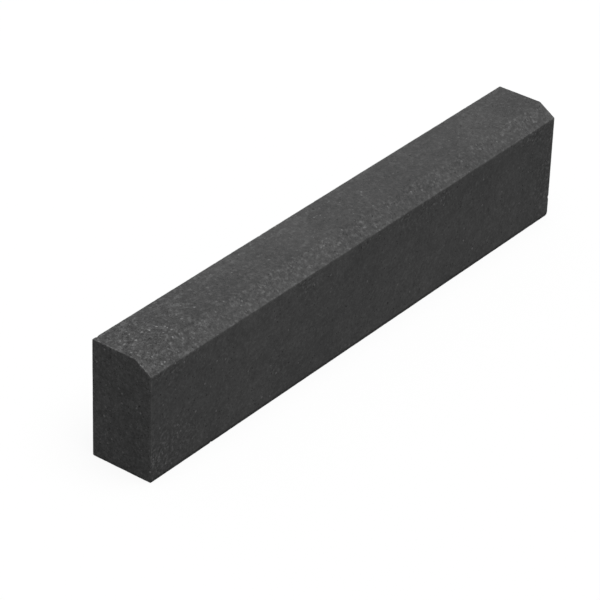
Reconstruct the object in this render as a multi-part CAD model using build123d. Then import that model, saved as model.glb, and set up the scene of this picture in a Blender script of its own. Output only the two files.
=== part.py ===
from build123d import *
import os

# Precast concrete edging kerb: a straight prism with a splayed front top edge,
# laid end to end to hold the edge of paving, a drive or a lawn. It is cast in
# two concretes that bond while both are green.
#
# Frame: +X runs along the kerb, -Y is the exposed front, +Y is the back and
# +Z is up. The origin is the centre of the underside. Millimetres.

# ---- overall form ----
LENGTH = 1000.0
WIDTH = 110.0          # front face to back face
HEIGHT = 200.0         # bed to top
SPLAY_WIDTH = 30.0     # horizontal leg of the splay
SPLAY_HEIGHT = 19.0    # vertical leg of the splay

# ---- facing thickness, each square to its own face ----
FACING_FRONT = 10.0
FACING_SPLAY = 11.0
FACING_TOP = 12.0

# ---- edge radii ----
SPLAY_TOP_RADIUS = 6.0     # soft roll where the splay meets the top
SPLAY_FRONT_RADIUS = 1.2   # arris where the splay meets the front
BACK_TOP_RADIUS = 1.2      # arris where the top meets the back
BED_RADIUS = 1.0           # arrises along the bed
END_RADIUS = 0.8           # arrises round both end faces

# ---- construction ----
OVERRUN = 20.0         # how far the cutting block runs past the kerb
TOLERANCE = 1e-6       # for picking edges that lie in an end plane

# ---- derived places ----
FRONT = -WIDTH / 2
BACK = WIDTH / 2
SPLAY_FOOT = (FRONT, HEIGHT - SPLAY_HEIGHT)   # (y, z) where it meets the front
SPLAY_HEAD = (FRONT + SPLAY_WIDTH, HEIGHT)    # (y, z) where it meets the top


def prism(outline, length):
    """A closed outline of (y, z) points drawn out along X, centred on X = 0."""
    wire = Polyline([(-length / 2, y, z) for y, z in outline], close=True)
    return extrude(make_face(wire), amount=length, dir=(1, 0, 0))


def long_edge(shape, y, z):
    """The edge along X that lies nearest a point of the cross-section."""
    return min(
        shape.edges().filter_by(Axis.X),
        key=lambda edge: (edge.center().Y - y) ** 2 + (edge.center().Z - z) ** 2,
    )


def edges_at_end(shape, end_x):
    """The edges that lie wholly in the plane X = end_x."""
    def in_plane(edge):
        box = edge.bounding_box()
        return all(abs(x - end_x) < TOLERANCE for x in (box.min.X, box.max.X))

    return [edge for edge in shape.edges() if in_plane(edge)]


def make_kerb():
    """The whole kerb, with both concretes as one solid."""
    kerb = prism([(FRONT, 0), SPLAY_FOOT, SPLAY_HEAD, (BACK, HEIGHT), (BACK, 0)], LENGTH)

    # The long edges are rounded first, so the end arrises follow their curves.
    for (y, z), radius in (
        (SPLAY_HEAD, SPLAY_TOP_RADIUS),
        (SPLAY_FOOT, SPLAY_FRONT_RADIUS),
        ((BACK, HEIGHT), BACK_TOP_RADIUS),
        ((FRONT, 0), BED_RADIUS),
        ((BACK, 0), BED_RADIUS),
    ):
        kerb = fillet(long_edge(kerb, y, z), radius)

    for end_x in (-LENGTH / 2, LENGTH / 2):
        kerb = fillet(edges_at_end(kerb, end_x), END_RADIUS)
    return kerb


def make_core_block():
    """The block whose front, splay and top are the bond between the concretes."""
    slope = SPLAY_HEIGHT / SPLAY_WIDTH
    splay_length = (SPLAY_WIDTH**2 + SPLAY_HEIGHT**2) ** 0.5
    drop = FACING_SPLAY * splay_length / SPLAY_WIDTH  # thickness measured along Z

    # The bond's splay line is the outer one lowered by drop. It runs from the
    # front bond plane up to the top bond plane.
    bond_front = FRONT + FACING_FRONT
    bond_top = HEIGHT - FACING_TOP
    foot_y, foot_z = SPLAY_FOOT
    bond_foot = (bond_front, foot_z - drop + slope * FACING_FRONT)
    bond_head = (foot_y + (bond_top + drop - foot_z) / slope, bond_top)

    outline = [
        (bond_front, -OVERRUN),
        bond_foot,
        bond_head,
        (BACK + OVERRUN, bond_top),
        (BACK + OVERRUN, -OVERRUN),
    ]
    return prism(outline, LENGTH + 2 * OVERRUN)


def make_facing_concrete(kerb, core_block):
    """The dense, pigmented mix on the front, splay and top."""
    return kerb - core_block


def make_core_concrete(kerb, core_block):
    """The coarser backing mix behind and below the facing."""
    return kerb & core_block


kerb = make_kerb()
core_block = make_core_block()

os.makedirs("parts", exist_ok=True)
for name, make_piece in (
    ("facing_concrete", make_facing_concrete),
    ("core_concrete", make_core_concrete),
):
    solid = make_piece(kerb, core_block).solids()[0]
    solid.label = name
    export_step(solid, f"parts/{name}.step")
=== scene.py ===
import math
from collections import namedtuple
from types import SimpleNamespace

import bpy
import numpy as np
from mathutils import Matrix, Vector
from mathutils.geometry import delaunay_2d_cdt


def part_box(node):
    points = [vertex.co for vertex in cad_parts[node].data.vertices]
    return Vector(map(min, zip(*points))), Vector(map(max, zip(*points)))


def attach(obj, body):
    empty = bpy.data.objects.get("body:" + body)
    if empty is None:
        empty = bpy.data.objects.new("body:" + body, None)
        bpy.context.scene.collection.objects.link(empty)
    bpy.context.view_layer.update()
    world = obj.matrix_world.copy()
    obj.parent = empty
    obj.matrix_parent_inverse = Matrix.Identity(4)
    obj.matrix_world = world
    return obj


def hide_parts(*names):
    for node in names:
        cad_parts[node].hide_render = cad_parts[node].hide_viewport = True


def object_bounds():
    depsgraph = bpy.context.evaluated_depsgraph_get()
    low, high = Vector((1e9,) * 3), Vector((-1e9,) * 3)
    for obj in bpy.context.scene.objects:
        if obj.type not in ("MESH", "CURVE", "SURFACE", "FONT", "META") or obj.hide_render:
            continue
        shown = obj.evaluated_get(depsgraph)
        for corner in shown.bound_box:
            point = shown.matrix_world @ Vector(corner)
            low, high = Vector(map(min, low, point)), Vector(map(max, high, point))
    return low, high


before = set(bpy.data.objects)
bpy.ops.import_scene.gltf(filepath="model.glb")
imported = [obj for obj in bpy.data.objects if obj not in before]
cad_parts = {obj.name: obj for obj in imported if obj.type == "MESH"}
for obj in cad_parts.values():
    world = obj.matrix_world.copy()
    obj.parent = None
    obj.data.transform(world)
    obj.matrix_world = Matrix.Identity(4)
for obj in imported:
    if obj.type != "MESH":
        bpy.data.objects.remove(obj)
cad_low, cad_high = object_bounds()

# ---------------------------------------------------------------------------
# Sizes
# ---------------------------------------------------------------------------
core_low, core_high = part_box("core_concrete")
HALF = cad_high.x * 1000  # half the length
FRONT = cad_low.y * 1000
BACK = cad_high.y * 1000
TOP = cad_high.z * 1000
BOND_Y = core_low.y * 1000  # bond plane behind the front face
BOND_Z = core_high.z * 1000  # bond plane under the top

SPLAY_W, SPLAY_H = 30.0, 19.0
SPLAY_Y = FRONT + SPLAY_W  # upper edge of the splay
SPLAY_Z = TOP - SPLAY_H  # lower edge of the splay
BOND_SPLAY = 11.0  # facing thickness square to the splay

# radii of the arrises; R_ROLL is where the splay meets the top
R_BED, R_FRONT, R_ROLL, R_TOP, R_END = 1.0, 1.2, 6.0, 1.2, 0.8
R_LARGE = 3  # a larger radius than this takes more rows and needs less flank

PITCH_SKIN, PITCH_END, PITCH_BOND = 2.75, 2.7, 6.0  # spacing of the loose vertices
PITCH_RING = 2.0  # and of those on the edge of each end face
PITCH_TRACE = 2.1  # and of those on the bond line across an end face
EDGE_GAP = 0.62  # loose vertices keep this share of the pitch from fixed ones

# ---------------------------------------------------------------------------
# Noise and easing
# ---------------------------------------------------------------------------
table_rng = np.random.default_rng(48213)
PERMUTATION = table_rng.permutation(256)
GRADIENTS = table_rng.normal(size=(256, 3))
GRADIENTS /= np.linalg.norm(GRADIENTS, axis=1)[:, None]


def noise(points, wave, seed):
    """Smooth gradient noise of 3-D points, about -1 to 1, of one wavelength."""
    place = np.asarray(points, float) / wave + seed * np.array([17.31, 41.73, 9.57])
    cell = np.floor(place).astype(np.int64)
    part = place - cell
    ease = part * part * part * (part * (part * 6 - 15) + 10)
    total = np.zeros(len(place))
    for i in (0, 1):
        for j in (0, 1):
            for k in (0, 1):
                pick = PERMUTATION[(cell[:, 0] + i) & 255]
                pick = PERMUTATION[(pick + cell[:, 1] + j) & 255]
                pick = PERMUTATION[(pick + cell[:, 2] + k) & 255]
                slope = ((part - (i, j, k)) * GRADIENTS[pick]).sum(1)
                weight = (
                    (ease[:, 0] if i else 1 - ease[:, 0])
                    * (ease[:, 1] if j else 1 - ease[:, 1])
                    * (ease[:, 2] if k else 1 - ease[:, 2])
                )
                total += weight * slope
    return np.clip(total * 1.7, -1, 1)


def step(low, high, value):
    """Eases from 0 at low to 1 at high."""
    share = np.clip((value - low) / (high - low), 0, 1)
    return share * share * (3 - 2 * share)


def bell(distance, reach):
    return np.exp(-((distance / reach) ** 2))


def unit(vector):
    vector = np.asarray(vector, float)
    return vector / np.linalg.norm(vector)


# ---------------------------------------------------------------------------
# The outline of the cross-section, from the bed seam round the front, the splay
# and the top to the back seam, then down the back and along the bed
# ---------------------------------------------------------------------------
CORNERS = [  # y, z, radius
    (FRONT, 0.0, R_BED),
    (FRONT, SPLAY_Z, R_FRONT),
    (SPLAY_Y, TOP, R_ROLL),
    (BACK, TOP, R_TOP),
    (BACK, 0.0, R_BED),
]
SEAM_BED = np.array([BOND_Y, 0.0])

# One stretch of the outline between two distances round it. A straight run starts
# at its origin; an arc has its centre there. Radius 0 is straight.
Run = namedtuple("Run", "begin end origin normal heading radius")


def make_outline():
    points = [SEAM_BED] + [np.array([y, z]) for y, z, _ in CORNERS] + [SEAM_BED]
    headings = [unit(b - a) for a, b in zip(points[:-1], points[1:])]
    runs = []

    def add_run(length, origin, normal, heading, radius=0.0):
        begin = runs[-1].end if runs else 0.0
        runs.append(Run(begin, begin + length, origin, normal, heading, radius))

    start = SEAM_BED
    for k, (_, _, radius) in enumerate(CORNERS):
        corner, heading, following = points[k + 1], headings[k], headings[k + 1]
        turn = math.acos(np.clip(heading @ following, -1, 1))
        reach = radius * math.tan(turn / 2)
        tangent = corner - heading * reach
        normal = np.array([-heading[1], heading[0]])
        add_run(np.linalg.norm(tangent - start), start, normal, heading)
        add_run(radius * turn, tangent - normal * radius, normal, heading, radius)
        start = corner + following * reach
    heading = headings[-1]
    normal = np.array([-heading[1], heading[0]])
    add_run(np.linalg.norm(SEAM_BED - start), start, normal, heading)
    return runs


RUNS = make_outline()
RUN_FACES = ["bed", "", "front", "", "splay", "", "top", "", "back", "", "bed"]
PERIMETER = RUNS[-1].end
BACK_RUN = RUNS[RUN_FACES.index("back")]
SEAM_BACK = BACK_RUN.begin + BACK_RUN.origin[1] - BOND_Z  # distance round to the back seam


def outline(around):
    """Points and outward normals (y, z) at distances round the outline."""
    around = np.asarray(around, float)
    points = np.zeros((len(around), 2))
    normals = np.zeros((len(around), 2))
    for run in RUNS:
        upper = around <= run.end + 1e-9 if run is RUNS[-1] else around < run.end
        here = (around >= run.begin) & upper
        if run is RUNS[0]:
            here |= around < run.begin
        past = around[here] - run.begin
        if run.radius == 0.0:
            points[here] = run.origin + past[:, None] * run.heading
            normals[here] = run.normal
        else:
            angle = (past / run.radius)[:, None]
            turned = np.cos(angle) * run.normal + np.sin(angle) * run.heading
            normals[here] = turned
            points[here] = run.origin + run.radius * turned
    return points, normals


ALONG_FLAT = HALF - R_END  # where the end arris starts
ALONG_MAX = ALONG_FLAT + R_END * math.pi / 2  # where it reaches the end face


def round_end(along):
    """The angle turned round the end arris, the inset there, and x."""
    angle = np.clip((np.abs(along) - ALONG_FLAT) / R_END, 0, math.pi / 2)
    inset = R_END * (1 - np.cos(angle))
    x = np.sign(along) * (np.minimum(np.abs(along), ALONG_FLAT) + R_END * np.sin(angle))
    return angle, inset, x


def skin(around, along):
    """Undisturbed points and normals of the outer skin; along runs down the kerb and
    round the arris on to the end face."""
    section, section_normals = outline(around)
    angle, inset, x = round_end(along)
    points = np.column_stack([x, section - inset[:, None] * section_normals])
    normals = np.column_stack(
        [np.sin(angle) * np.sign(along), section_normals * np.cos(angle)[:, None]]
    )
    return points, normals


def end_normals(count, side):
    return np.tile([float(side), 0.0, 0.0], (count, 1))


# ---------------------------------------------------------------------------
# Wear: arrises, chips and corners
# ---------------------------------------------------------------------------
Arris = namedtuple("Arris", "start direction length bisector wear chips_per_m chip_size")
Chip = namedtuple("Chip", "place half_length depth cut_direction")
CornerCut = namedtuple("CornerCut", "corner direction depth")  # depth below the sharp corner


def make_arrises():
    rows = []  # start, end, the two face normals, wear, chips per metre, chip size
    front, back, up, down = (0, -1, 0), (0, 1, 0), (0, 0, 1), (0, 0, -1)
    splay = (0, *(np.array([-SPLAY_H, SPLAY_W]) / math.hypot(SPLAY_W, SPLAY_H)))
    for y, z, normal_a, normal_b, wear, chips, size in (
        (FRONT, SPLAY_Z, front, splay, 0.5, 15, 0.6),
        (BACK, TOP, up, back, 0.7, 15, 0.7),
        (FRONT, 0, front, down, 0.6, 11, 0.5),
        (BACK, 0, back, down, 1.1, 26, 1.2),
    ):
        rows.append(((-HALF, y, z), (HALF, y, z), normal_a, normal_b, wear, chips, size))
    for side in (-1, 1):
        for start, end, normal, wear, chips, size in (
            ((FRONT, 0), (FRONT, SPLAY_Z), front, 0.6, 18, 0.6),
            ((FRONT, SPLAY_Z), (SPLAY_Y, TOP), splay, 0.12, 12, 0.4),
            ((SPLAY_Y, TOP), (BACK, TOP), up, 0.30, 17, 0.45),
            ((BACK, 0), (BACK, TOP), back, 0.32, 12, 0.5),
            ((FRONT, 0), (BACK, 0), down, 0.6, 16, 0.6),
        ):
            x = side * HALF
            rows.append(((x, *start), (x, *end), (side, 0, 0), normal, wear, chips, size))
    arrises = []
    for start, end, normal_a, normal_b, *tuning in rows:
        start, end = np.array(start, float), np.array(end, float)
        bisector = unit(unit(normal_a) + unit(normal_b))
        length = np.linalg.norm(end - start)
        arrises.append(Arris(start, unit(end - start), length, bisector, *tuning))
    return arrises


def make_chips(arris, gen):
    chips = []
    for _ in range(int(round(arris.chips_per_m * arris.length / 1000))):
        half = gen.uniform(1.6, 4.6) * arris.chip_size
        if gen.random() < 0.12:  # a few are larger
            half *= 1.7
        depth = half * gen.uniform(0.16, 0.30)
        sideways = np.cross(arris.direction, arris.bisector)
        cut = unit(arris.bisector + 0.35 * sideways * gen.uniform(-1, 1))
        chips.append(Chip(gen.uniform(3, arris.length - 3), half, depth, cut))
    return chips


def make_corner_cuts(gen):
    cuts = []
    for side in (-1, 1):
        for y, z, toward_y, toward_z, depth in (
            (FRONT, 0.0, -1, -1, 1.0),
            (FRONT, SPLAY_Z, -1, 0.45, 0.28),
            (BACK, TOP, 1, 1, 0.5),
            (BACK, 0.0, 1, -1, 1.2),
        ):
            # the far front corner at the bed is the one that is well broken
            broken = (side, y, z) == (1, FRONT, 0.0)
            extra = 1.9 if broken else gen.uniform(0, 0.25)
            corner = np.array([side * HALF, y, z])
            cuts.append(CornerCut(corner, unit((side, toward_y, toward_z)), depth + extra))
    return cuts


chip_rng = np.random.default_rng(9177)
ARRISES = make_arrises()
CHIPS = [make_chips(arris, chip_rng) for arris in ARRISES]  # one list for each arris
CORNER_CUTS = make_corner_cuts(chip_rng)

ARRIS_REACH = 11  # points this near an arris are looked at
ARRIS_OVERRUN = 3  # and this far past its two ends
CORNER_REACH = 12
WEAR_FALL = 1.7  # how quickly the rubbing dies away from the arris
WEAR_MARK_FALL = 3.0  # and the paler mark with it
CHIP_START = 0.36  # depth from the sharp arris at which a chip begins
CHIP_FULL, CUT_FULL = 0.25, 0.3  # cut depth that counts as fully broken


def cut_back(moved, broken, which, below, depth, direction, full):
    """Cuts the chosen points down to a depth along a direction, and marks them."""
    push = np.clip(depth - below, 0, None)
    moved[which] -= push[:, None] * direction
    broken[which] = np.maximum(broken[which], np.clip(push / full, 0, 1))


def worn(points):
    """Moves points near arrises and corners in, and says how worn and how broken
    each one is, 0 to 1."""
    moved = points.copy()
    rubbed = np.zeros(len(points))
    broken = np.zeros(len(points))
    for arris, chips in zip(ARRISES, CHIPS):
        offset = points - arris.start
        along = offset @ arris.direction
        offset = offset - along[:, None] * arris.direction
        away = np.linalg.norm(offset, axis=1)
        near = (away < ARRIS_REACH) & (along > -ARRIS_OVERRUN)
        near &= along < arris.length + ARRIS_OVERRUN
        if not near.any():
            continue
        index = np.nonzero(near)[0]
        along, away = along[index], away[index]
        line = arris.start + along[:, None] * arris.direction
        uneven = 0.04 + 0.32 * np.clip(noise(line, wave=13, seed=3), 0, 1) + 0.24 * np.clip(
            noise(line, wave=4.2, seed=4) - 0.1, 0, 1
        )
        loss = arris.wear * uneven * bell(away, WEAR_FALL)
        moved[index] -= loss[:, None] * arris.bisector
        mark = bell(away, WEAR_MARK_FALL) * (0.55 + 0.45 * noise(line, wave=9, seed=5))
        rubbed[index] = np.maximum(rubbed[index], mark)
        for chip in chips:
            within = np.abs(along - chip.place) < chip.half_length
            if not within.any():
                continue
            which = index[within]
            foot = arris.start + along[within][:, None] * arris.direction
            below = -((moved[which] - foot) @ chip.cut_direction)
            bow = 1 - ((along[within] - chip.place) / chip.half_length) ** 2
            depth = (CHIP_START + chip.depth) * bow
            depth *= 1 + 0.35 * noise(moved[which], wave=2.6, seed=6)
            cut_back(moved, broken, which, below, depth, chip.cut_direction, CHIP_FULL)
    for cut in CORNER_CUTS:
        which = np.nonzero(np.linalg.norm(points - cut.corner, axis=1) < CORNER_REACH)[0]
        below = -((moved[which] - cut.corner) @ cut.direction)
        depth = cut.depth * (1 + 0.25 * noise(moved[which], wave=3.1, seed=7))
        cut_back(moved, broken, which, below, depth, cut.direction, CUT_FULL)
    return moved, np.clip(rubbed, 0, 1), broken


# ---------------------------------------------------------------------------
# Faces, the looks that vary over them, and relief
# ---------------------------------------------------------------------------
Faces = namedtuple("Faces", "top splay end front back bed")  # each 0 to 1; top has the splay


def find_faces(normals):
    top = step(0.55, 0.80, normals[:, 2])
    return Faces(
        top=top,
        splay=top * step(0.2, 0.5, -normals[:, 1]),
        end=step(0.60, 0.92, np.abs(normals[:, 0])),
        front=step(0.70, 0.95, -normals[:, 1]),
        back=step(0.70, 0.95, normals[:, 1]),
        bed=step(0.70, 0.95, -normals[:, 2]),
    )


def weigh(faces, **weights):
    """A weighted sum of the faces named."""
    return sum(weight * getattr(faces, name) for name, weight in weights.items())


def make_clusters(gen):
    """Groups of coarse grains along the splay: x, y, reach in x, strength."""
    clusters = []
    x = -HALF + 18
    while x < HALF:
        y = SPLAY_Y - gen.uniform(3, 12)
        clusters.append((x, y, gen.uniform(11, 21), gen.uniform(0.55, 1.0)))
        x += gen.uniform(50, 92)
    return clusters


CLUSTERS = make_clusters(np.random.default_rng(611))
CLUSTER_REACH_Y = 6.5


def cluster_strength(points, faces):
    """Where the stamped splay shows its coarse grains, 0 to 1."""
    strongest = np.zeros(len(points))
    for x, y, reach, strength in CLUSTERS:
        off_x, off_y = (points[:, 0] - x) / reach, (points[:, 1] - y) / CLUSTER_REACH_Y
        strongest = np.maximum(strongest, strength * np.exp(-(off_x**2) - off_y**2))
    return strongest * faces.top


def fleck_density(points, faces):
    """How thickly pale aggregate shows, 0 to 1."""
    near = bell(points[:, 0] + HALF, 85)
    far = bell(points[:, 0] - HALF, 50)
    low = 1 - step(40, 110, points[:, 2])
    high = step(SPLAY_Z - 40, SPLAY_Z - 4, points[:, 2])
    patch = 0.5 + 0.5 * noise(points, wave=38, seed=11)
    spot = step(0.50, 0.85, patch)
    dense = weigh(faces, top=0.14, splay=0.05, end=0.10, back=0.12, bed=0.2)
    dense += faces.top * (0.58 * near + 0.10 * far + 0.16 * patch)
    dense += cluster_strength(points, faces) * 0.60
    dense += faces.front * (
        0.68 * near * low + 0.50 * far + (0.34 * spot + 0.36 * near) * high + 0.20 * spot
    )
    dense += faces.end * 0.26 * spot + faces.back * 0.22 * spot
    return np.clip(dense, 0, 1)


def liveliness(points, faces):
    """Contrast of the mix, about 1: the top is at its most open at the near end and
    quietens along the kerb."""
    top, splay = faces.top, faces.splay
    near = bell(points[:, 0] + HALF, 190)
    quiet = 0.38 * (1 - near) + 0.10 * step(-HALF, HALF, points[:, 0])
    return 1 + 0.13 * near * (top - splay) - quiet * (top * (1 - 0.45 * splay) + faces.front * 0.2)


def slow_shade(points, faces):
    """Slow differences of tone: the top pales from the roll to the back and darkens
    a little towards the far end, and the stamped splay is paler than it, most of all
    beside its own two ends."""
    across = np.clip((points[:, 1] - FRONT - SPLAY_W) / (BACK - FRONT - SPLAY_W), 0, 1)
    rim = bell(HALF - np.abs(points[:, 0]) - 3.5, 5.0)
    near = bell(points[:, 0] + HALF, 150)
    far = bell(points[:, 0] - HALF, 120)
    slow = 0.14 * across - 0.085 + near * (0.065 * across + 0.015) - 0.09 * far
    return 1 + (faces.top - faces.splay) * slow + (0.055 + 0.15 * rim) * faces.splay


RELIEF_SINK = -0.17  # the mean surface lies this far inside the mould's faces
RELIEF_DEEPEST = -1.2


def relief(points, normals):
    """Outward displacement, never above the mould's own faces."""
    faces = find_faces(normals)
    form = 0.15 * noise(points, wave=240, seed=21) + 0.08 * noise(points, wave=75, seed=22)
    middle = weigh(faces, top=0.05, front=0.03, end=0.07, back=0.07, bed=0.09)
    middle = middle * noise(points, wave=17, seed=23)
    fine = weigh(faces, top=0.09, splay=0.05, front=0.035, end=0.10, back=0.09, bed=0.15)
    fine = fine + 0.10 * cluster_strength(points, faces)
    fine = fine * noise(points, wave=6.4, seed=24)
    voids = weigh(faces, end=0.25, back=0.18, bed=0.35, top=0.10)
    voids = voids * np.clip(noise(points, wave=9.5, seed=25) - 0.38, 0, 1)
    height = RELIEF_SINK + 0.75 * form + middle + fine - voids * 1.6
    return np.clip(height, RELIEF_DEEPEST, 0.0)


def finish_points(points, normals, height):
    """The finished skin, with how worn and how broken each point is."""
    return worn(points + (relief(points, normals) + height)[:, None] * normals)


# ---------------------------------------------------------------------------
# Small features: air holes and proud grains, each with its own rings of vertices
# ---------------------------------------------------------------------------
Feature = namedtuple("Feature", "a b radius kind depth tone")  # a, b: place in the sheet
HOLE, GRAIN = 0, 1
PROFILES = {HOLE: (1.0, 0.80, 0.10), GRAIN: (1.0, 0.85, 0.25)}  # centre, rings 1 and 2
BIG_RADIUS = 1.25  # a larger feature takes more vertices in its outer rings
FEATURE_CLEAR = 1.45  # its rings stay within this many radii

TRIES_PER_DM2 = 90
HOLES_PER_DM2 = {"front": 7.0, "splay": 8.0, "top": 8.0, "back": 15.0, "bed": 22.0, "end": 24.0}
GRAINS_PER_DM2 = {"front": 7.0, "splay": 17.0, "top": 12.0, "back": 10.0, "bed": 6.0, "end": 8.0}
GRAIN_TONES = {"top": (0.2, 1.0), "splay": (0.15, 0.8)}  # darkest and palest, before squaring
GRAIN_TONES_OTHER = (0.1, 0.62)
GRAIN_TONES_END = (0.05, 0.58)


def draw_radius(gen, least, spread, largest):
    return min(least * math.exp(abs(gen.normal()) * spread), largest)


def draw_hole(gen, a, b, least, largest):
    radius = draw_radius(gen, least, spread=0.42, largest=largest)
    return Feature(a, b, radius, HOLE, radius * gen.uniform(0.38, 0.62), 0.0)


def scatter(tries, draw, limit=None):
    """Features from a number of tries, without those too close to an earlier one."""
    found = []
    placed = np.zeros((0, 3))
    for _ in range(tries):
        new = draw()
        if new is None:
            continue
        apart = np.hypot(placed[:, 0] - new.a, placed[:, 1] - new.b)
        if (apart < (placed[:, 2] + new.radius) * 1.4 + 0.5).any():
            continue
        found.append(new)
        placed = np.vstack([placed, new[:3]])
        if len(found) == limit:
            break
    return found


def ring_points(radius, gen):
    """Offsets of a feature's vertices, with their share of the way out."""
    offsets, shares = [(0.0, 0.0)], [0.0]
    big = radius > BIG_RADIUS
    wobble = gen.uniform(0, 2 * math.pi, 2)
    for count, share in ((6, 0.55), (9 if big else 8, 0.95), (12 if big else 10, 1.35)):
        phase = gen.uniform(0, 2 * math.pi)
        for k in range(count):
            angle = phase + 2 * math.pi * k / count
            oval = 0.14 * math.sin(2 * angle + wobble[0])
            reach = radius * share * (1 + oval + 0.08 * math.sin(3 * angle + wobble[1]))
            offsets.append((reach * math.cos(angle), reach * math.sin(angle)))
            shares.append(share)
    return np.array(offsets), np.array(shares)


def feature_vertices(features, gen):
    """All ring vertices of the features in their own plane, with the height, hole
    mark, grain mark and tone of each."""
    if not features:
        return np.zeros((0, 2)), *(np.zeros(0) for _ in range(4))
    parts = []
    for feature in features:
        offsets, share = ring_points(feature.radius, gen)
        profile = np.select([share < 0.1, share < 0.7, share < 1.1], PROFILES[feature.kind], 0.0)
        if feature.kind == HOLE:
            height, hole, grain = -feature.depth * profile, profile, np.zeros(len(share))
        else:
            height, hole = feature.depth * profile, np.zeros(len(share))
            grain = np.where(share < 1.1, 1.0, 0.0)
        tone = np.full(len(share), feature.tone)
        parts.append((offsets + (feature.a, feature.b), height, hole, grain, tone))
    return tuple(np.concatenate(column) for column in zip(*parts))


def keep_clear(points, features, pad=0.45):
    """The points that lie outside every feature's rings."""
    clear = np.ones(len(points), bool)
    for k in range(0, len(features), 60):  # in batches, to spare memory
        batch = np.array([feature[:3] for feature in features[k : k + 60]])
        apart = np.hypot(points[:, 0:1] - batch[:, 0], points[:, 1:2] - batch[:, 1])
        clear &= (apart > batch[:, 2] * FEATURE_CLEAR + pad).all(1)
    return points[clear]


def hexes(a_low, a_high, b_low, b_high, pitch, gen, jitter=0.24):
    """A jittered triangular lattice over a rectangle."""
    row_share = 0.866  # row spacing over pitch
    rows = []
    for k in range(int((b_high - b_low) / (pitch * row_share)) + 1):
        a = np.arange(a_low + (pitch / 2 if k % 2 else 0), a_high, pitch)
        rows.append(np.column_stack([a, np.full(len(a), b_low + k * pitch * row_share)]))
    points = np.concatenate(rows)
    return points + gen.uniform(-jitter, jitter, points.shape) * pitch


def polygon_distance(points, loop):
    """Shortest distance of 2-D points to a closed loop, and whether they're inside."""
    best = np.full(len(points), 1e9)
    inside = np.zeros(len(points), bool)
    for start, end in zip(loop, np.roll(loop, -1, axis=0)):
        edge = end - start
        share = np.clip(((points - start) @ edge) / max(edge @ edge, 1e-12), 0, 1)
        apart = np.linalg.norm(points - (start + share[:, None] * edge), axis=1)
        best = np.minimum(best, apart)
        crosses = (start[1] > points[:, 1]) != (end[1] > points[:, 1])
        # a level edge divides by zero, and crosses nothing
        with np.errstate(divide="ignore", invalid="ignore"):
            x = (end[0] - start[0]) * (points[:, 1] - start[1]) / (end[1] - start[1]) + start[0]
        inside ^= crosses & (points[:, 0] < x)
    return best, inside


def triangulate(points, n_loop=0):
    """Delaunay triangles of the points, turning anticlockwise. The first n_loop
    points, if any, are a closed loop that the triangles fill."""
    vectors = [Vector((float(a), float(b))) for a, b in points]
    edges = [(k, (k + 1) % n_loop) for k in range(n_loop)]
    mode = 1 if n_loop else 0
    _, _, faces, origins, _, _ = delaunay_2d_cdt(vectors, edges, [], mode, 1e-7, True)
    source = np.array([origin[0] if origin else -1 for origin in origins])
    if (source < 0).any():
        raise RuntimeError("the triangulation made a vertex of its own")
    tris = source[np.array([list(face) for face in faces])]
    a, b, c = (points[tris[:, k]] for k in range(3))
    area = (b[:, 0] - a[:, 0]) * (c[:, 1] - a[:, 1]) - (b[:, 1] - a[:, 1]) * (c[:, 0] - a[:, 0])
    tris[area < 0] = tris[area < 0][:, ::-1]
    tris = tris[np.abs(area) > 1e-9]
    if n_loop:
        tris = tris[polygon_distance(points[tris].mean(1), points[:n_loop])[1]]
    return tris


# ---------------------------------------------------------------------------
# Lines of vertices that follow the arrises and seams
# ---------------------------------------------------------------------------
def arris_rows(first, last):
    """Distances round the outline where rows of vertices lie, and the zones they fill."""
    rows, zones = [], []
    for run in RUNS:
        if run.radius == 0.0 or run.end < first or run.begin > last:
            continue
        large = run.radius > R_LARGE
        flank = (1.7, 3.8) if large else (0.9, 2.1, 3.8)
        here = list(np.linspace(run.begin, run.end, 5 if large else 4))
        here += [run.begin - gap for gap in flank] + [run.end + gap for gap in flank]
        here = [value for value in here if first < value < last]
        rows += here
        zones.append((min(here), max(here)))
    return sorted(rows), zones


def long_list(pitch):
    """Places along the kerb for a row of vertices, without the end columns."""
    reach = ALONG_FLAT - 3.9
    return np.linspace(-reach, reach, int(round(2 * reach / pitch)) + 1)


def fill_between(values, pitch):
    filled = [values[0]]
    for a, b in zip(values[:-1], values[1:]):
        count = max(1, int(round((b - a) / pitch)))
        filled += list(a + (b - a) * np.arange(1, count + 1) / count)
    return np.array(filled)


FLANK_INNER = ALONG_FLAT - 2.2
FAR_COLUMNS = [FLANK_INNER, ALONG_FLAT - 0.9] + list(np.linspace(ALONG_FLAT, ALONG_MAX, 4))
# end arris outwards in, then its flank, at the near end; the far end mirrors the arris
END_COLUMNS = (
    [-value for value in FAR_COLUMNS[:1:-1]] + [-FAR_COLUMNS[1], -FAR_COLUMNS[0]] + FAR_COLUMNS
)
SEAM_ALONG = np.unique(np.round(np.concatenate([END_COLUMNS, long_list(2.6)]), 9))

SEAM_REACH = 9.0  # the seams' wandering dies out this far from them


def seam_wave(x, seed):
    line = np.column_stack([x, np.zeros_like(x), np.zeros_like(x)])
    return 0.9 * noise(line, wave=47, seed=seed) + 0.35 * noise(line, wave=11, seed=seed + 1)


def wander(around, along):
    """Lets the two seams wander a little along the bed and the back."""
    x = np.clip(along, -HALF, HALF)
    to_bed_seam = np.minimum(np.abs(around), np.abs(around - PERIMETER))
    to_back_seam = np.abs(around - SEAM_BACK)
    moved = around.copy()
    for apart, seed in ((to_bed_seam, 31), (to_back_seam, 35)):
        fade = np.clip(1 - apart / SEAM_REACH, 0, 1) ** 2
        moved = moved + seam_wave(x, seed) * fade * 0.8
    # past either end of the outline it carries on from the other
    return np.where(moved < 0, moved + PERIMETER, np.where(moved > PERIMETER, moved - PERIMETER, moved))


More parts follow.
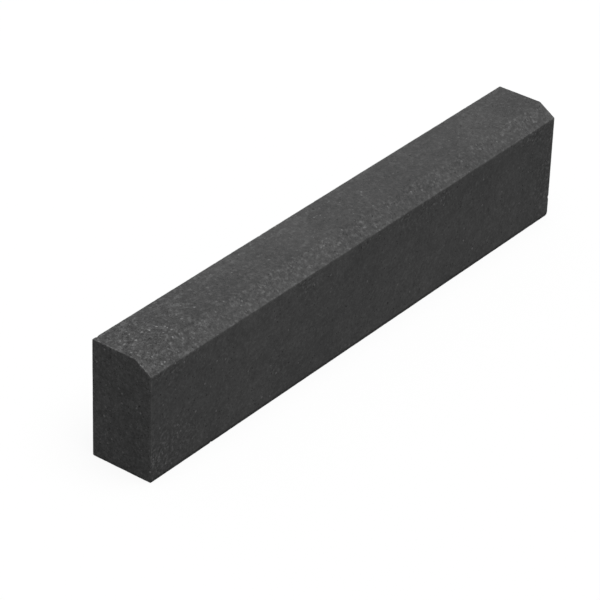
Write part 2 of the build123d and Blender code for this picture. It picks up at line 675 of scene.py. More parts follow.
# ---------------------------------------------------------------------------
# The two outer sheets
# ---------------------------------------------------------------------------
def face_at(around):
    """Which face a distance round the outline is on; empty on an arris."""
    for run, face in zip(RUNS, RUN_FACES):
        if run.begin <= around <= run.end:
            return face
    return ""


def join_marks(before, rings, after):
    """Ring marks, with nothing for the vertices that come before and after."""
    names = ("hole", "grain", "tone")
    return {name: np.pad(ring, (before, after)) for name, ring in zip(names, rings)}


def sheet_features(first, last, zones, gen, limit):
    def blocked(feature):
        pad = feature.radius * FEATURE_CLEAR + 0.5
        around = feature.a
        if around < first + pad or around > last - pad or abs(feature.b) > FLANK_INNER - pad:
            return True
        return any(low - pad < around < high + pad for low, high in zones)

    def draw():
        around = gen.uniform(first, last)
        along = gen.uniform(-ALONG_FLAT, ALONG_FLAT)
        face = face_at(around)
        if not face:
            return None
        points, normals = skin(np.array([around]), np.array([along]))
        dense = float(fleck_density(points, find_faces(normals))[0])
        hole_rate = HOLES_PER_DM2[face]
        grain_rate = GRAINS_PER_DM2[face] * dense * 2.2
        pick = gen.random() * TRIES_PER_DM2
        if pick < hole_rate:
            feature = draw_hole(gen, around, along, least=0.75, largest=2.3)
        elif pick < hole_rate + grain_rate:
            radius = draw_radius(gen, least=0.95, spread=0.32, largest=2.1)
            tone = gen.uniform(*GRAIN_TONES.get(face, GRAIN_TONES_OTHER))
            rise = 0.06 + 0.06 * gen.random()
            feature = Feature(around, along, radius, GRAIN, rise, tone**2.0)
        else:
            return None
        return None if blocked(feature) else feature

    area_dm2 = (last - first) * 2 * ALONG_FLAT / 1e4
    return scatter(int(TRIES_PER_DM2 * area_dm2), draw, limit)


def make_sheet(first, last, gen, limit):
    """The outer skin between two distances round the outline."""
    rows, zones = arris_rows(first, last)
    ring = fill_between([first] + rows + [last], PITCH_RING)
    fixed = [np.column_stack([np.full(len(SEAM_ALONG), a), SEAM_ALONG]) for a in (first, last)]
    inner = ring[1:-1]
    fixed += [np.column_stack([inner, np.full(len(inner), along)]) for along in END_COLUMNS]
    for k, around in enumerate(rows):
        along = long_list(2.1)
        if k % 2:
            along = (along[:-1] + along[1:]) / 2
        fixed.append(np.column_stack([np.full(len(along), around), along]))
    fixed = np.concatenate(fixed)

    features = sheet_features(first, last, zones, gen, limit)
    ring_places, ring_height, *ring_marks = feature_vertices(features, gen)

    loose = hexes(first, last, -ALONG_FLAT, ALONG_FLAT, PITCH_SKIN, gen)
    gap = EDGE_GAP * PITCH_SKIN
    keep = (loose[:, 0] > first + gap) & (loose[:, 0] < last - gap)
    keep &= np.abs(loose[:, 1]) < FLANK_INNER - gap
    for low, high in zones:
        keep &= (loose[:, 0] < low - gap) | (loose[:, 0] > high + gap)
    loose = keep_clear(loose[keep], features)

    places = np.concatenate([fixed, ring_places, loose])
    points, normals = skin(wander(places[:, 0], places[:, 1]), places[:, 1])
    height = np.pad(ring_height, (len(fixed), len(loose)))
    finished, rubbed, broken = finish_points(points, normals, height)
    marks = join_marks(len(fixed), ring_marks, len(loose))
    marks.update(wear=rubbed, chip=broken)
    n_seam = len(SEAM_ALONG)
    ends = {}
    for side in (-1, 1):
        edge = np.nonzero(np.abs(fixed[:, 1] - side * ALONG_MAX) < 1e-6)[0]
        ends[side] = edge[np.argsort(fixed[edge, 0])]
    return SimpleNamespace(
        points=finished,
        normals=normals,
        # (around, along) is a left-handed pair on the skin, so triangles turn over
        tris=triangulate(places)[:, ::-1],
        marks=marks,
        first=np.arange(n_seam),
        last=np.arange(n_seam, 2 * n_seam),
        ends=ends,
        ring=ring,
    )


facing_sheet = make_sheet(0.0, SEAM_BACK, np.random.default_rng(101), limit=900)
core_sheet = make_sheet(SEAM_BACK, PERIMETER, np.random.default_rng(202), limit=700)
# both sheets use the very same vertices where they meet
core_sheet.points[core_sheet.first] = facing_sheet.points[facing_sheet.last]
core_sheet.points[core_sheet.last] = facing_sheet.points[facing_sheet.first]

# ---------------------------------------------------------------------------
# The bond line across the section, from the bed seam to the back seam
# ---------------------------------------------------------------------------
slope = SPLAY_H / SPLAY_W
drop = BOND_SPLAY * math.hypot(SPLAY_W, SPLAY_H) / SPLAY_W
LOW_KNEE = np.array([BOND_Y, SPLAY_Z + slope * (BOND_Y - FRONT) - drop])
HIGH_KNEE = np.array([FRONT + (BOND_Z + drop - SPLAY_Z) / slope, BOND_Z])
KNEE_HEADING = (HIGH_KNEE - LOW_KNEE) / np.linalg.norm(HIGH_KNEE - LOW_KNEE)

# distances along the line to its two knees and its end
TRACE_LOW = LOW_KNEE[1]
TRACE_HIGH = TRACE_LOW + np.linalg.norm(HIGH_KNEE - LOW_KNEE)
TRACE_END = TRACE_HIGH + BACK - HIGH_KNEE[0]
TRACE_MARGIN = 4.0


def bond_line(trace):
    """Points (y, z) and normals at distances along the bond line."""
    trace = np.asarray(trace, float)
    upright, sloped = (trace < TRACE_LOW)[:, None], (trace < TRACE_HIGH)[:, None]
    level_points = np.column_stack(
        [HIGH_KNEE[0] + trace - TRACE_HIGH, np.full(len(trace), BOND_Z)]
    )
    points = np.where(
        upright,
        np.column_stack([np.full(len(trace), BOND_Y), trace]),
        np.where(sloped, LOW_KNEE + (trace - TRACE_LOW)[:, None] * KNEE_HEADING, level_points),
    )
    sloped_normal = np.array([[-KNEE_HEADING[1], KNEE_HEADING[0]]])
    normals = np.where(
        upright, np.array([[-1.0, 0.0]]), np.where(sloped, sloped_normal, np.array([[0.0, 1.0]]))
    )
    return points, normals


def bond_points(trace, x):
    """The bond surface: rough, because one green mix is pressed on to the other."""
    section, section_normals = bond_line(trace)
    points = np.column_stack([x, section])
    normals = np.column_stack([np.zeros(len(section)), section_normals])
    fade = np.clip(np.minimum(trace, TRACE_END - trace) / 8, 0, 1)
    rise = 0.55 * noise(points, wave=31, seed=41) + 0.45 * noise(points, wave=9, seed=42)
    return points + (rise * fade)[:, None] * normals


def end_bond(side):
    """Vertices of the bond line on one end face, between the two sheets' corners."""
    stations = [R_END, TRACE_MARGIN, TRACE_LOW, TRACE_HIGH]
    stations += [TRACE_END - TRACE_MARGIN, TRACE_END - R_END]
    trace = fill_between(stations, PITCH_TRACE)[1:-1]
    points = bond_points(trace, np.full(len(trace), side * HALF))
    points[:, 0] += relief(points, end_normals(len(trace), side)) * side
    return trace, points


BOND_ENDS = {side: end_bond(side) for side in (-1, 1)}


# ---------------------------------------------------------------------------
# The end faces
# ---------------------------------------------------------------------------
def end_features(loop, low, high, gen):
    def draw():
        a, b = gen.uniform(low[0], high[0]), gen.uniform(low[1], high[1])
        pick = gen.random() * TRIES_PER_DM2
        if pick < HOLES_PER_DM2["end"]:
            feature = draw_hole(gen, a, b, least=0.70, largest=2.0)
        elif pick < HOLES_PER_DM2["end"] + GRAINS_PER_DM2["end"]:
            radius = draw_radius(gen, least=0.85, spread=0.34, largest=1.8)
            rise = 0.06 + 0.05 * gen.random()
            feature = Feature(a, b, radius, GRAIN, rise, gen.uniform(*GRAIN_TONES_END) ** 2.0)
        else:
            return None
        apart, inside = polygon_distance(np.array([[a, b]]), loop)
        if not inside[0] or apart[0] < feature.radius * FEATURE_CLEAR + 0.8:
            return None
        return feature

    return scatter(int(TRIES_PER_DM2 * ((high - low).prod() / 1e4)), draw)


def make_cap(sheet, side, is_facing, gen):
    """One end face of one concrete. Its triangles count the sheet's edge first, then
    the bond line, then the new vertices."""
    trace, line = BOND_ENDS[side]
    # The facing's edge runs from the bed seam to the back seam, so the bond line
    # closes it backwards. The core's edge runs the other way.
    if is_facing:
        trace, line = trace[::-1], line[::-1]
    # triangles are worked out on the undisturbed outline
    flat, flat_normals = outline(sheet.ring)
    loop = np.concatenate([flat - R_END * flat_normals, bond_line(trace)[0]])
    low, high = loop.min(0), loop.max(0)

    features = end_features(loop, low, high, gen)
    ring_places, ring_height, *ring_marks = feature_vertices(features, gen)
    loose = hexes(low[0], high[0], low[1], high[1], PITCH_END, gen)
    apart, inside = polygon_distance(loose, loop)
    loose = keep_clear(loose[inside & (apart > EDGE_GAP * PITCH_END)], features)
    tris = triangulate(np.concatenate([loop, ring_places, loose]), len(loop))

    new = np.concatenate([ring_places, loose])
    points = np.column_stack([np.full(len(new), side * HALF), new])
    normals = end_normals(len(new), side)
    height = np.pad(ring_height, (0, len(loose)))
    finished, rubbed, broken = finish_points(points, normals, height)
    marks = join_marks(0, ring_marks, len(loose))
    marks.update(wear=rubbed, chip=broken)
    if side < 0:
        tris = tris[:, ::-1]
    return SimpleNamespace(line=line, points=finished, normals=normals, tris=tris, marks=marks)


# ---------------------------------------------------------------------------
# The bond surface between the two concretes
# ---------------------------------------------------------------------------
def make_bond(gen):
    """Vertices and triangles of the bond surface. Its loop is the bed seam along +X,
    the far end's bond line, the back seam along -X and the near end's bond line."""
    _, inset, x = round_end(SEAM_ALONG)
    far_trace, far_points = BOND_ENDS[1]
    near_trace, near_points = BOND_ENDS[-1]
    loop = np.concatenate(
        [
            np.column_stack([inset, x]),
            np.column_stack([far_trace, np.full(len(far_trace), HALF)]),
            np.column_stack([TRACE_END - inset, x])[::-1],
            np.column_stack([near_trace[::-1], np.full(len(near_trace), -HALF)]),
        ]
    )
    loop_points = np.concatenate(
        [
            facing_sheet.points[facing_sheet.first],
            far_points,
            facing_sheet.points[facing_sheet.last][::-1],
            near_points[::-1],
        ]
    )
    loose = hexes(0, TRACE_END, -HALF, HALF, PITCH_BOND, gen, jitter=0.18)
    knee_x = np.linspace(-HALF + 5, HALF - 5, 200)
    knees = [np.column_stack([np.full(200, knee), knee_x]) for knee in (TRACE_LOW, TRACE_HIGH)]
    keep = (loose[:, 0] > TRACE_MARGIN) & (loose[:, 0] < TRACE_END - TRACE_MARGIN)
    keep &= np.abs(loose[:, 1]) < HALF - 4
    for knee in (TRACE_LOW, TRACE_HIGH):
        keep &= np.abs(loose[:, 0] - knee) > 3.2
    inner = np.concatenate([*knees, loose[keep]])
    tris = triangulate(np.concatenate([loop, inner]), len(loop))
    return np.concatenate([loop_points, bond_points(inner[:, 0], inner[:, 1])]), tris


BOND_SURFACE, BOND_TRIS = make_bond(np.random.default_rng(303))

# ---------------------------------------------------------------------------
# Joining one concrete's sheets into a closed mesh
# ---------------------------------------------------------------------------
MARKS = ("hole", "grain", "tone", "wear", "chip")


def join_parts(sheet, is_facing, gen):
    """Points, normals, marks and triangles of one concrete, and which triangles are
    on the bond surface."""
    parts = [(sheet.points, sheet.normals, sheet.marks)]
    tris = [sheet.tris]
    count = len(sheet.points)
    for side in (-1, 1):
        cap = make_cap(sheet, side, is_facing, gen)
        parts.append((cap.line, end_normals(len(cap.line), side), None))
        parts.append((cap.points, cap.normals, cap.marks))
        added = len(cap.line) + len(cap.points)
        tris.append(np.concatenate([sheet.ends[side], count + np.arange(added)])[cap.tris])
        count += added
    parts.append((BOND_SURFACE, np.zeros((len(BOND_SURFACE), 3)), None))
    tris.append(count + (BOND_TRIS if is_facing else BOND_TRIS[:, ::-1]))

    points = np.concatenate([part[0] for part in parts])
    normals = np.concatenate([part[1] for part in parts])
    marks = {
        name: np.concatenate([m[name] if m else np.zeros(len(p)) for p, _, m in parts])
        for name in MARKS
    }
    tris = np.concatenate(tris)
    on_bond = np.arange(len(tris)) >= len(tris) - len(BOND_TRIS)

    # the shared vertices are made one
    key = np.round(points * 1e5).astype(np.int64)
    _, first, merged = np.unique(key, axis=0, return_index=True, return_inverse=True)
    tris = merged.ravel()[tris]
    good = (tris[:, 0] != tris[:, 1]) & (tris[:, 1] != tris[:, 2]) & (tris[:, 2] != tris[:, 0])
    marks = {name: values[first] for name, values in marks.items()}
    return points[first], normals[first], marks, tris[good], on_bond[good]


def make_mesh(name, points, tris):
    mesh = bpy.data.meshes.new(name)
    mesh.vertices.add(len(points))
    mesh.vertices.foreach_set("co", (points / 1000).astype(np.float32).ravel())
    mesh.loops.add(len(tris) * 3)
    mesh.loops.foreach_set("vertex_index", tris.astype(np.int32).ravel())
    mesh.polygons.add(len(tris))
    mesh.polygons.foreach_set("loop_start", np.arange(0, len(tris) * 3, 3, dtype=np.int32))
    mesh.polygons.foreach_set("loop_total", np.full(len(tris), 3, np.int32))
    mesh.polygons.foreach_set("use_smooth", np.ones(len(tris), bool))
    mesh.update(calc_edges=True)
    mesh.validate()  # drops a faulty face, should there be one
    return mesh


def sharpen_bond_edge(mesh, tris, on_bond):
    """Marks the edges between a cast face and the bond face as true corners."""
    edges = np.concatenate([tris[:, [0, 1]], tris[:, [1, 2]], tris[:, [2, 0]]])
    edges = np.sort(edges, axis=1)
    kinds = np.tile(on_bond, 3)
    order = np.lexsort((edges[:, 1], edges[:, 0]))
    edges, kinds = edges[order], kinds[order]
    mixed = (edges[1:] == edges[:-1]).all(1) & (kinds[1:] != kinds[:-1])
    corners = edges[1:][mixed].astype(np.int64)
    ends = np.zeros(len(mesh.edges) * 2, np.int32)
    mesh.edges.foreach_get("vertices", ends)
    ends = np.sort(ends.reshape(-1, 2), axis=1).astype(np.int64)
    count = len(mesh.vertices)
    is_corner = np.isin(ends[:, 0] * count + ends[:, 1], corners[:, 0] * count + corners[:, 1])
    sharp = mesh.attributes.new("sharp_edge", "BOOLEAN", "EDGE")
    sharp.data.foreach_set("value", is_corner)


# what the materials read, beside the marks
FACE_FIELDS = ("topness", "endness", "frontness", "dense", "cluster", "lively", "shade")


def make_concrete(name, sheet, is_facing, gen):
    points, normals, marks, tris, on_bond = join_parts(sheet, is_facing, gen)
    mesh = make_mesh(name, points, tris)
    sharpen_bond_edge(mesh, tris, on_bond)
    faces = find_faces(normals)
    looks = (
        faces.top,
        faces.end,
        faces.front,
        fleck_density(points, faces),
        cluster_strength(points, faces),
        liveliness(points, faces),
        slow_shade(points, faces),
    )
    for field, values in {**marks, **dict(zip(FACE_FIELDS, looks))}.items():
        attribute = mesh.attributes.new(field, "FLOAT", "POINT")
        attribute.data.foreach_set("value", values.astype(np.float32))
    piece = bpy.data.objects.new(name, mesh)
    bpy.context.scene.collection.objects.link(piece)
    return piece


facing = make_concrete("facing_shell", facing_sheet, True, np.random.default_rng(404))
core = make_concrete("core_body", core_sheet, False, np.random.default_rng(505))

# ---------------------------------------------------------------------------
# Materials
# ---------------------------------------------------------------------------
# a cell texture: distance from the cell's centre, and three random values per cell
Cells = namedtuple("Cells", "distance red green blue")


class Graph:
    """A short way to write the node tree of a material or world."""

    def __init__(self, owner):
        owner.use_nodes = True
        self.owner = owner
        self.tree = owner.node_tree
        self.tree.nodes.clear()

    def put(self, socket, value):
        if isinstance(value, bpy.types.NodeSocket):
            self.tree.links.new(value, socket)
        else:
            socket.default_value = value

    def node(self, kind, inputs=None, **props):
        node = self.tree.nodes.new(kind)
        for name, value in props.items():
            setattr(node, name, value)
        for key, value in (inputs or {}).items():
            self.put(node.inputs[key], value)
        return node

    def math(self, operation, a, b=0.0, c=0.0, clamp=False):
        inputs = {0: a, 1: b, 2: c}
        return self.node("ShaderNodeMath", inputs, operation=operation, use_clamp=clamp).outputs[0]

    def add(self, a, b):
        return self.math("ADD", a, b)

    def sub(self, a, b):
        return self.math("SUBTRACT", a, b)

    def mul(self, a, b):
        return self.math("MULTIPLY", a, b)

    def linear(self, value, gain, offset):
        """value * gain + offset"""
        return self.math("MULTIPLY_ADD", value, gain, offset)

    def centred(self, texture):
        return self.sub(texture, 0.5)

    def swing(self, texture, gain, offset):
        """The offset, with a texture swinging it to either side."""
        return self.linear(self.centred(texture), gain, offset)

    def lift(self, value, mask, gain):
        """The value made larger by a share of itself where the mask is."""
        return self.mul(value, self.linear(mask, gain, 1.0))

    def vary(self, value, texture, gain):
        return self.lift(value, self.centred(texture), gain)

    def darken(self, value, mask, amount):
        return self.mul(value, self.sub(1.0, self.mul(mask, amount)))

    def above(self, value, edge, soft):
        """0 below the edge to 1 above it, over a width of soft."""
        if isinstance(edge, bpy.types.NodeSocket):
            low, high = self.sub(edge, soft / 2), self.add(edge, soft / 2)
        else:
            low, high = edge - soft / 2, edge + soft / 2
        inputs = {"Value": value, "From Min": low, "From Max": high}
        node = self.node("ShaderNodeMapRange", inputs, interpolation_type="SMOOTHSTEP")
        return node.outputs["Result"]

    def below(self, value, edge, soft):
        return self.sub(1.0, self.above(value, edge, soft))

    def mix(self, factor, a, b):
        return self.node("ShaderNodeMix", {0: factor, 2: a, 3: b}, data_type="FLOAT").outputs[0]

    def mix_shader(self, factor, a, b):
        return self.node("ShaderNodeMixShader", {0: factor, 1: a, 2: b}).outputs[0]

    def noise_node(self, vector, scale, detail):
        inputs = {"Vector": vector, "Scale": scale, "Detail": detail}
        return self.node("ShaderNodeTexNoise", inputs)

    def noise(self, vector, scale, detail=2.0, rough=0.5, distortion=0.0):
        node = self.noise_node(vector, scale, detail)
        self.put(node.inputs["Roughness"], rough)
        self.put(node.inputs["Distortion"], distortion)
        return node.outputs["Fac"]

    def cells(self, vector, scale):
        node = self.node("ShaderNodeTexVoronoi", {"Vector": vector, "Scale": scale})
        parts = self.node("ShaderNodeSeparateColor", {0: node.outputs["Color"]})
        return Cells(node.outputs["Distance"], *parts.outputs[:3])

    def vector_math(self, operation, inputs):
        return self.node("ShaderNodeVectorMath", inputs, operation=operation).outputs[0]

    def warp(self, vector, scale, amount):
        """The vector pushed about by noise, for broken outlines."""
        push = self.noise_node(vector, scale, detail=1.5).outputs["Color"]
        push = self.vector_math("SUBTRACT", {0: push, 1: (0.5, 0.5, 0.5)})
        push = self.vector_math("SCALE", {0: push, "Scale": amount})
        return self.vector_math("ADD", {0: vector, 1: push})

    def stretch(self, vector, scale=(1, 1, 1), shift=(0, 0, 0)):
        inputs = {"Vector": vector, "Scale": scale, "Location": shift}
        return self.node("ShaderNodeMapping", inputs).outputs[0]

    def camera_ray(self):
        return self.node("ShaderNodeLightPath").outputs["Is Camera Ray"]


def openness(g, mark, coarse):
    """How open the surface is: the pressed top and the ends show their sand, and the
    front is closed by the mould."""
    top_share, end_share, dense_share = 0.55, 0.5, 0.45
    least = 0.22 + 0.35 * coarse
    shown = g.mul(mark.topness, top_share)
    shown = g.math("ADD", shown, g.mul(mark.endness, end_share), clamp=True)
    shown = g.math("ADD", shown, g.mul(mark.dense, dense_share), clamp=True)
    return g.math("MAXIMUM", shown, least)


def broad_tone(g, here, mark, cloud, mottle):
    """Clouding, patches, faint drag lines along the top, mottle and lumps, about 1."""
    top = mark.topness
    drag = g.noise(g.stretch(here, scale=(2.2, 60, 60)), scale=1.0, detail=3.0, rough=0.55)
    lumps = g.noise(g.stretch(here, shift=(2.2, 6.4, 9.1)), scale=165, detail=2.0, rough=0.6)
    slow = g.noise(here, scale=8.5, detail=0.6, rough=0.55)
    patches = g.noise(g.stretch(here, shift=(5.3, 8.1, 2.6)), scale=27, detail=2.0, rough=0.5)

    slow_tone = g.swing(slow, gain=g.mul(top, 0.20), offset=1.0)
    value = g.swing(cloud, gain=0.52, offset=slow_tone)
    value = g.vary(value, patches, gain=g.linear(top, gain=-0.20, offset=0.34))
    value = g.lift(value, g.mul(g.centred(drag), top), gain=0.28)
    value = g.vary(value, mottle, gain=g.linear(top, gain=-0.32, offset=0.62))
    lump = g.linear(g.above(lumps, edge=0.60, soft=0.22), gain=0.55, offset=g.sub(lumps, 0.62))
    strength = g.linear(g.mul(mark.frontness, mark.dense), gain=1.35, offset=0.33)
    strength = g.linear(mark.endness, gain=0.06, offset=strength)
    strength = g.linear(top, gain=0.56, offset=strength)
    lump = g.mul(lump, g.mul(strength, mark.lively))
    return g.mul(value, g.add(lump, 1.0))


def sand_tone(g, ragged, mark, shown, sand, fine, grit):
    """Sand of three sizes, every cell its own shade, and grit, about 1."""

    def contrast(texture, gain):
        return g.mul(g.centred(texture), g.mul(gain, mark.lively))

    blots = g.cells(ragged, scale=270)
    blot = contrast(blots.red, g.linear(shown, gain=0.34, offset=0.14))
    middle = contrast(sand.red, g.linear(shown, gain=0.36, offset=0.14))
    fine_gain = g.linear(mark.endness, gain=-0.04, offset=0.22)
    small = contrast(fine.red, g.linear(shown, gain=fine_gain, offset=0.16))
    grit_gain = g.linear(mark.endness, gain=-0.20, offset=0.56)
    gritty = contrast(grit, g.linear(shown, gain=grit_gain, offset=0.36))
    return g.add(g.add(g.add(middle, blot), g.add(small, gritty)), 1.0)


def spots(g, ragged, shift, scale, chance, size, soft):
    """Round spots in the cells whose random value is above the chance."""
    cells = g.cells(g.stretch(ragged, shift=shift), scale=scale)
    picked = g.above(cells.red, edge=chance, soft=0.012)
    size = g.linear(cells.green, gain=0.16, offset=size)
    return g.mul(picked, g.below(cells.distance, edge=size, soft=soft)), cells


def stamp_strokes(g, here, mark, colour):
    """Curled pale strokes where the stamp has dragged the splay's grains."""
    curl = g.stretch(here, scale=(85, 190, 190), shift=(4.0, 1.1, 0.7))
    curl = g.noise(curl, scale=1.0, detail=1.0, rough=0.5, distortion=1.4)
    stroke = g.mul(mark.cluster, g.above(curl, edge=0.60, soft=0.10))
    groove = g.mul(mark.cluster, g.below(curl, edge=0.42, soft=0.10))
    groove = g.linear(groove, gain=-0.20, offset=1.0)
    return g.mul(colour, g.linear(stroke, gain=0.74, offset=groove))


def concrete(name, base, coarse):
    """Dry pressed concrete with black pigment: a dark cement skin, sand showing
    through it, pale aggregate flecks, air holes, and paler rubbed arrises. base is
    the grey of the skin, coarse enlarges and opens the sand."""
    g = Graph(bpy.data.materials.new(name))
    here = g.stretch(g.node("ShaderNodeTexCoord").outputs["Object"])
    mark = SimpleNamespace(**{field: g.attribute(field) for field in ()})
    for field in MARKS + FACE_FIELDS:
        node = g.node("ShaderNodeAttribute", attribute_name=field)
        setattr(mark, field, node.outputs["Fac"])
    top, end, front = mark.topness, mark.endness, mark.frontness
    shown = openness(g, mark, coarse)

    # textures that several layers share
    ragged = g.warp(here, scale=620, amount=0.0034)
    cloud = g.noise(here, scale=8.5, detail=3.0, rough=0.55)
    mottle = g.noise(here, scale=62, detail=4.0, rough=0.66, distortion=0.3)
    sand = g.cells(ragged, scale=430 - 120 * coarse)
    fine = g.cells(here, scale=1050)
    grit = g.noise(here, scale=520, detail=3.0, rough=0.65)
    fringe = g.noise(here, scale=900, detail=2.0, rough=0.6)

    # pale flecks of two sizes, more of them where the mix is open, and pores, which get painted shade
    chance = g.linear(mark.dense, gain=-0.46, offset=0.988)
    large, large_cells = spots(g, ragged, (3.1, 1.7, 0.4), 150, chance, size=0.14, soft=0.06)
    chance = g.linear(mark.dense, gain=-0.60, offset=0.97)
    small, small_cells = spots(g, ragged, (0.6, 2.9, 5.2), 330, chance, size=0.15, soft=0.08)
    chance = g.linear(front, gain=-0.025, offset=0.985)
    chance = g.linear(shown, gain=-0.22, offset=chance)
    pore, _ = spots(g, ragged, (7.4, 0.3, 2.2), 240, chance, size=0.12, soft=0.08)
    # the modelled grains, and the modelled holes, which get painted shade
    grain = g.above(g.swing(fringe, gain=1.5, offset=mark.grain), edge=0.5, soft=0.25)
    hole_shade = g.above(g.swing(fringe, gain=0.8, offset=mark.hole), edge=0.42, soft=0.5)

    value = broad_tone(g, here, mark, cloud, mottle)
    value = g.mul(value, sand_tone(g, ragged, mark, shown, sand, fine, grit))
    colour = g.mul(g.mul(value, base), mark.shade)
    colour = stamp_strokes(g, here, mark, colour)

    # flecks and grains: how far each covers the skin, and its own grey
    glint = g.mul(g.mul(mark.lively, mark.lively), g.linear(top, gain=0.35, offset=0.65))
    cover = g.mul(small, g.linear(small_cells.blue, gain=0.50, offset=0.22))
    grey = g.linear(g.mul(glint, small_cells.green), gain=0.075, offset=0.080)
    colour = g.mix(cover, colour, grey)
    cover = g.mul(large, g.linear(large_cells.blue, gain=0.6, offset=0.25))
    grey = g.linear(g.mul(glint, large_cells.green), gain=0.115, offset=0.080)
    colour = g.mix(cover, colour, grey)
    colour = g.mix(grain, colour, g.linear(g.mul(glint, mark.tone), gain=0.150, offset=0.066))

    # rubbed and broken arrises are paler; pores and holes are darkened with painted shade, less of it
    # on the top
    rubbed = g.mul(mark.wear, g.swing(grit, gain=0.8, offset=0.85))
    rubbed_gain = g.linear(end, gain=-0.15, offset=0.34)
    colour = g.lift(colour, rubbed, gain=g.linear(top, gain=0.14, offset=rubbed_gain))
    broken = g.mul(mark.chip, g.linear(sand.red, gain=0.5, offset=0.3))
    colour = g.lift(colour, broken, gain=0.35)
    colour = g.darken(colour, pore, amount=g.linear(top, gain=-0.16, offset=0.66))
    colour = g.darken(colour, hole_shade, amount=g.linear(top, gain=-0.14, offset=0.62))
    # the last millimetres above the bed are darkened: painted contact shade along the foot, where the
    # kerb meets the floor
    z = g.node("ShaderNodeSeparateXYZ", {0: here}).outputs[2]
    foot_shade_edge = g.linear(front, gain=0.0012, offset=0.0044)
    foot_shade_edge = g.swing(mottle, gain=0.006, offset=foot_shade_edge)
    foot = g.below(z, edge=foot_shade_edge, soft=0.0036)
    colour = g.darken(colour, foot, amount=g.linear(front, gain=0.26, offset=0.20))
    darkest = 0.008
    colour = g.math("MAXIMUM", colour, darkest)
    # the clouding tips the grey slightly between warm and cool
    warm = g.swing(cloud, gain=0.02, offset=1.0)
    cool = g.sub(2.0, warm)
    tinted = {0: g.mul(colour, warm), 1: colour, 2: g.mul(colour, cool)}

    # relief finer than the mesh; a cell stands highest at its centre
    sand_height = g.mul(g.sub(0.55, sand.distance), g.linear(shown, gain=0.9, offset=0.25))
    fine_height = g.mul(g.sub(0.55, fine.distance), 0.60)
    grit_height = g.mul(g.centred(grit), g.linear(shown, gain=1.1, offset=0.5))
    height = g.add(g.add(sand_height, fine_height), grit_height)
    for mask, rise in ((large, 0.5), (small, 0.35)):
        height = g.add(height, g.mul(mask, rise))
    pits = g.mul(mark.cluster, g.above(mottle, edge=0.52, soft=0.2))
    for mask, depth in ((pore, 1.8), (pits, 0.8)):
        height = g.sub(height, g.mul(mask, depth))
    bump = g.node("ShaderNodeBump", {"Strength": 0.85, "Distance": 0.00028, "Height": height})

    # flecks and rubbed arrises are smoother, pores rougher
    rough = g.swing(grit, gain=0.16, offset=0.86)
    for mask, loss in ((g.math("MAXIMUM", large, grain), 0.22), (rubbed, 0.06)):
        rough = g.sub(rough, g.mul(mask, loss))
    pore_rough = 0.1
    rough = g.math("ADD", rough, g.mul(pore, pore_rough), clamp=True)

    shader = g.node(
        "ShaderNodeBsdfPrincipled",
        {
            "Base Color": g.node("ShaderNodeCombineColor", tinted).outputs[0],
            "Roughness": rough,
            "Normal": bump.outputs[0],
            "Specular IOR Level": 0.35,
        },
    )
    g.node("ShaderNodeOutputMaterial", {"Surface": shader.outputs[0]})
    return g.owner


facing.data.materials.append(concrete("anthracite_facing_mix", base=0.0565, coarse=0.0))
core.data.materials.append(concrete("anthracite_core_mix", base=0.0560, coarse=0.35))

for piece, node, slot_name in (
    (facing, "facing_concrete", "facing_mix"),
    (core, "core_concrete", "core_mix"),
):
    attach(piece, "root")
    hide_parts(node)


# ---------------------------------------------------------------------------
# Stage: a pale floor that stays pale to the horizon
# ---------------------------------------------------------------------------
def floor_material():
    """Pale and mostly self-lit to the camera, a dull grey to the light."""
    g = Graph(bpy.data.materials.new("studio_floor"))
    pale = g.node("ShaderNodeBsdfDiffuse", {"Color": (0.82, 0.82, 0.82, 1)}).outputs[0]
    glow = g.node("ShaderNodeEmission", {"Strength": 1.0}).outputs[0]
    glow_share = 0.88
    seen = g.mix_shader(glow_share, pale, glow)
    dull = g.node("ShaderNodeBsdfDiffuse", {"Color": (0.30, 0.30, 0.30, 1)}).outputs[0]
    surface = g.mix_shader(g.camera_ray(), dull, seen)
    g.node("ShaderNodeOutputMaterial", {"Surface": surface})
    return g.owner


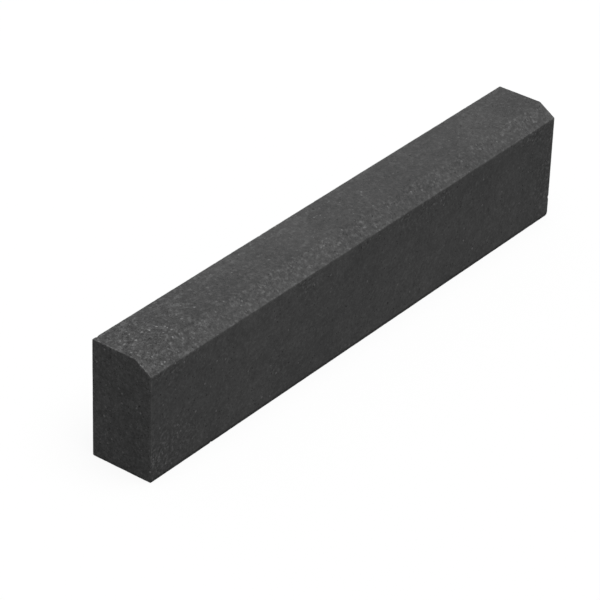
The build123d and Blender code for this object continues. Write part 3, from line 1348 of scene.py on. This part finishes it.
FLOOR_HALF = 60.0  # metres
floor_corners = [(x * FLOOR_HALF, y * FLOOR_HALF, 0) for x, y in ((-1, -1), (1, -1), (1, 1), (-1, 1))]
floor_mesh = bpy.data.meshes.new("floor")
floor_mesh.from_pydata(floor_corners, [], [(0, 1, 2, 3)])
floor = bpy.data.objects.new("floor", floor_mesh)
bpy.context.scene.collection.objects.link(floor)
floor.data.materials.append(floor_material())


# ---------------------------------------------------------------------------
# Light: a broad soft source overhead, tilted to the front, and an even surround
# ---------------------------------------------------------------------------
def make_world():
    g = Graph(bpy.data.worlds.new("studio"))
    white = (1, 1, 1, 1)
    backdrop, ambient = (
        g.node("ShaderNodeBackground", {"Color": white, "Strength": strength}).outputs[0]
        for strength in (1.02, 0.35)
    )
    surface = g.mix_shader(g.camera_ray(), ambient, backdrop)
    g.node("ShaderNodeOutputWorld", {"Surface": surface})
    return g.owner


bpy.context.scene.world = make_world()


def sun(name, towards, strength, angle):
    """A far soft lamp in the direction given from the object; angle in degrees."""
    data = bpy.data.lights.new(name, "SUN")
    data.energy = strength
    data.angle = math.radians(angle)
    lamp = bpy.data.objects.new(name, data)
    lamp.rotation_mode = "QUATERNION"
    lamp.rotation_quaternion = Vector(towards).to_track_quat("Z", "Y")
    bpy.context.scene.collection.objects.link(lamp)


tilt = math.radians(12.6)
sun("key", towards=(0, -math.sin(tilt), math.cos(tilt)), strength=2.9, angle=50)
# a weak fill from behind, for the back face
sun("fill", towards=(0.28, 0.94, 0.14), strength=0.45, angle=20)

# ---------------------------------------------------------------------------
# Camera: a long lens from the near end, in front and above
# ---------------------------------------------------------------------------
CAMERA_PLACE = (-3.4097391, -2.5179485, 2.7008352)
camera_right = Vector((0.6180543, -0.7856172, 0.0285394))
camera_down = Vector((-0.4022060, -0.3471954, -0.8471633))
camera_forward = Vector((0.6754548, 0.5121143, -0.5305655))

camera_data = bpy.data.cameras.new("camera")
camera_data.sensor_width = 36.0
camera_data.lens = 195.580
camera_data.clip_start, camera_data.clip_end = 0.05, 400
camera = bpy.data.objects.new("camera", camera_data)
bpy.context.scene.collection.objects.link(camera)
turn = Matrix((camera_right, -camera_down, -camera_forward)).transposed()
camera.matrix_world = Matrix.Translation(CAMERA_PLACE) @ turn.to_4x4()
bpy.context.scene.camera = camera
bpy.context.scene.view_settings.view_transform = "Standard"
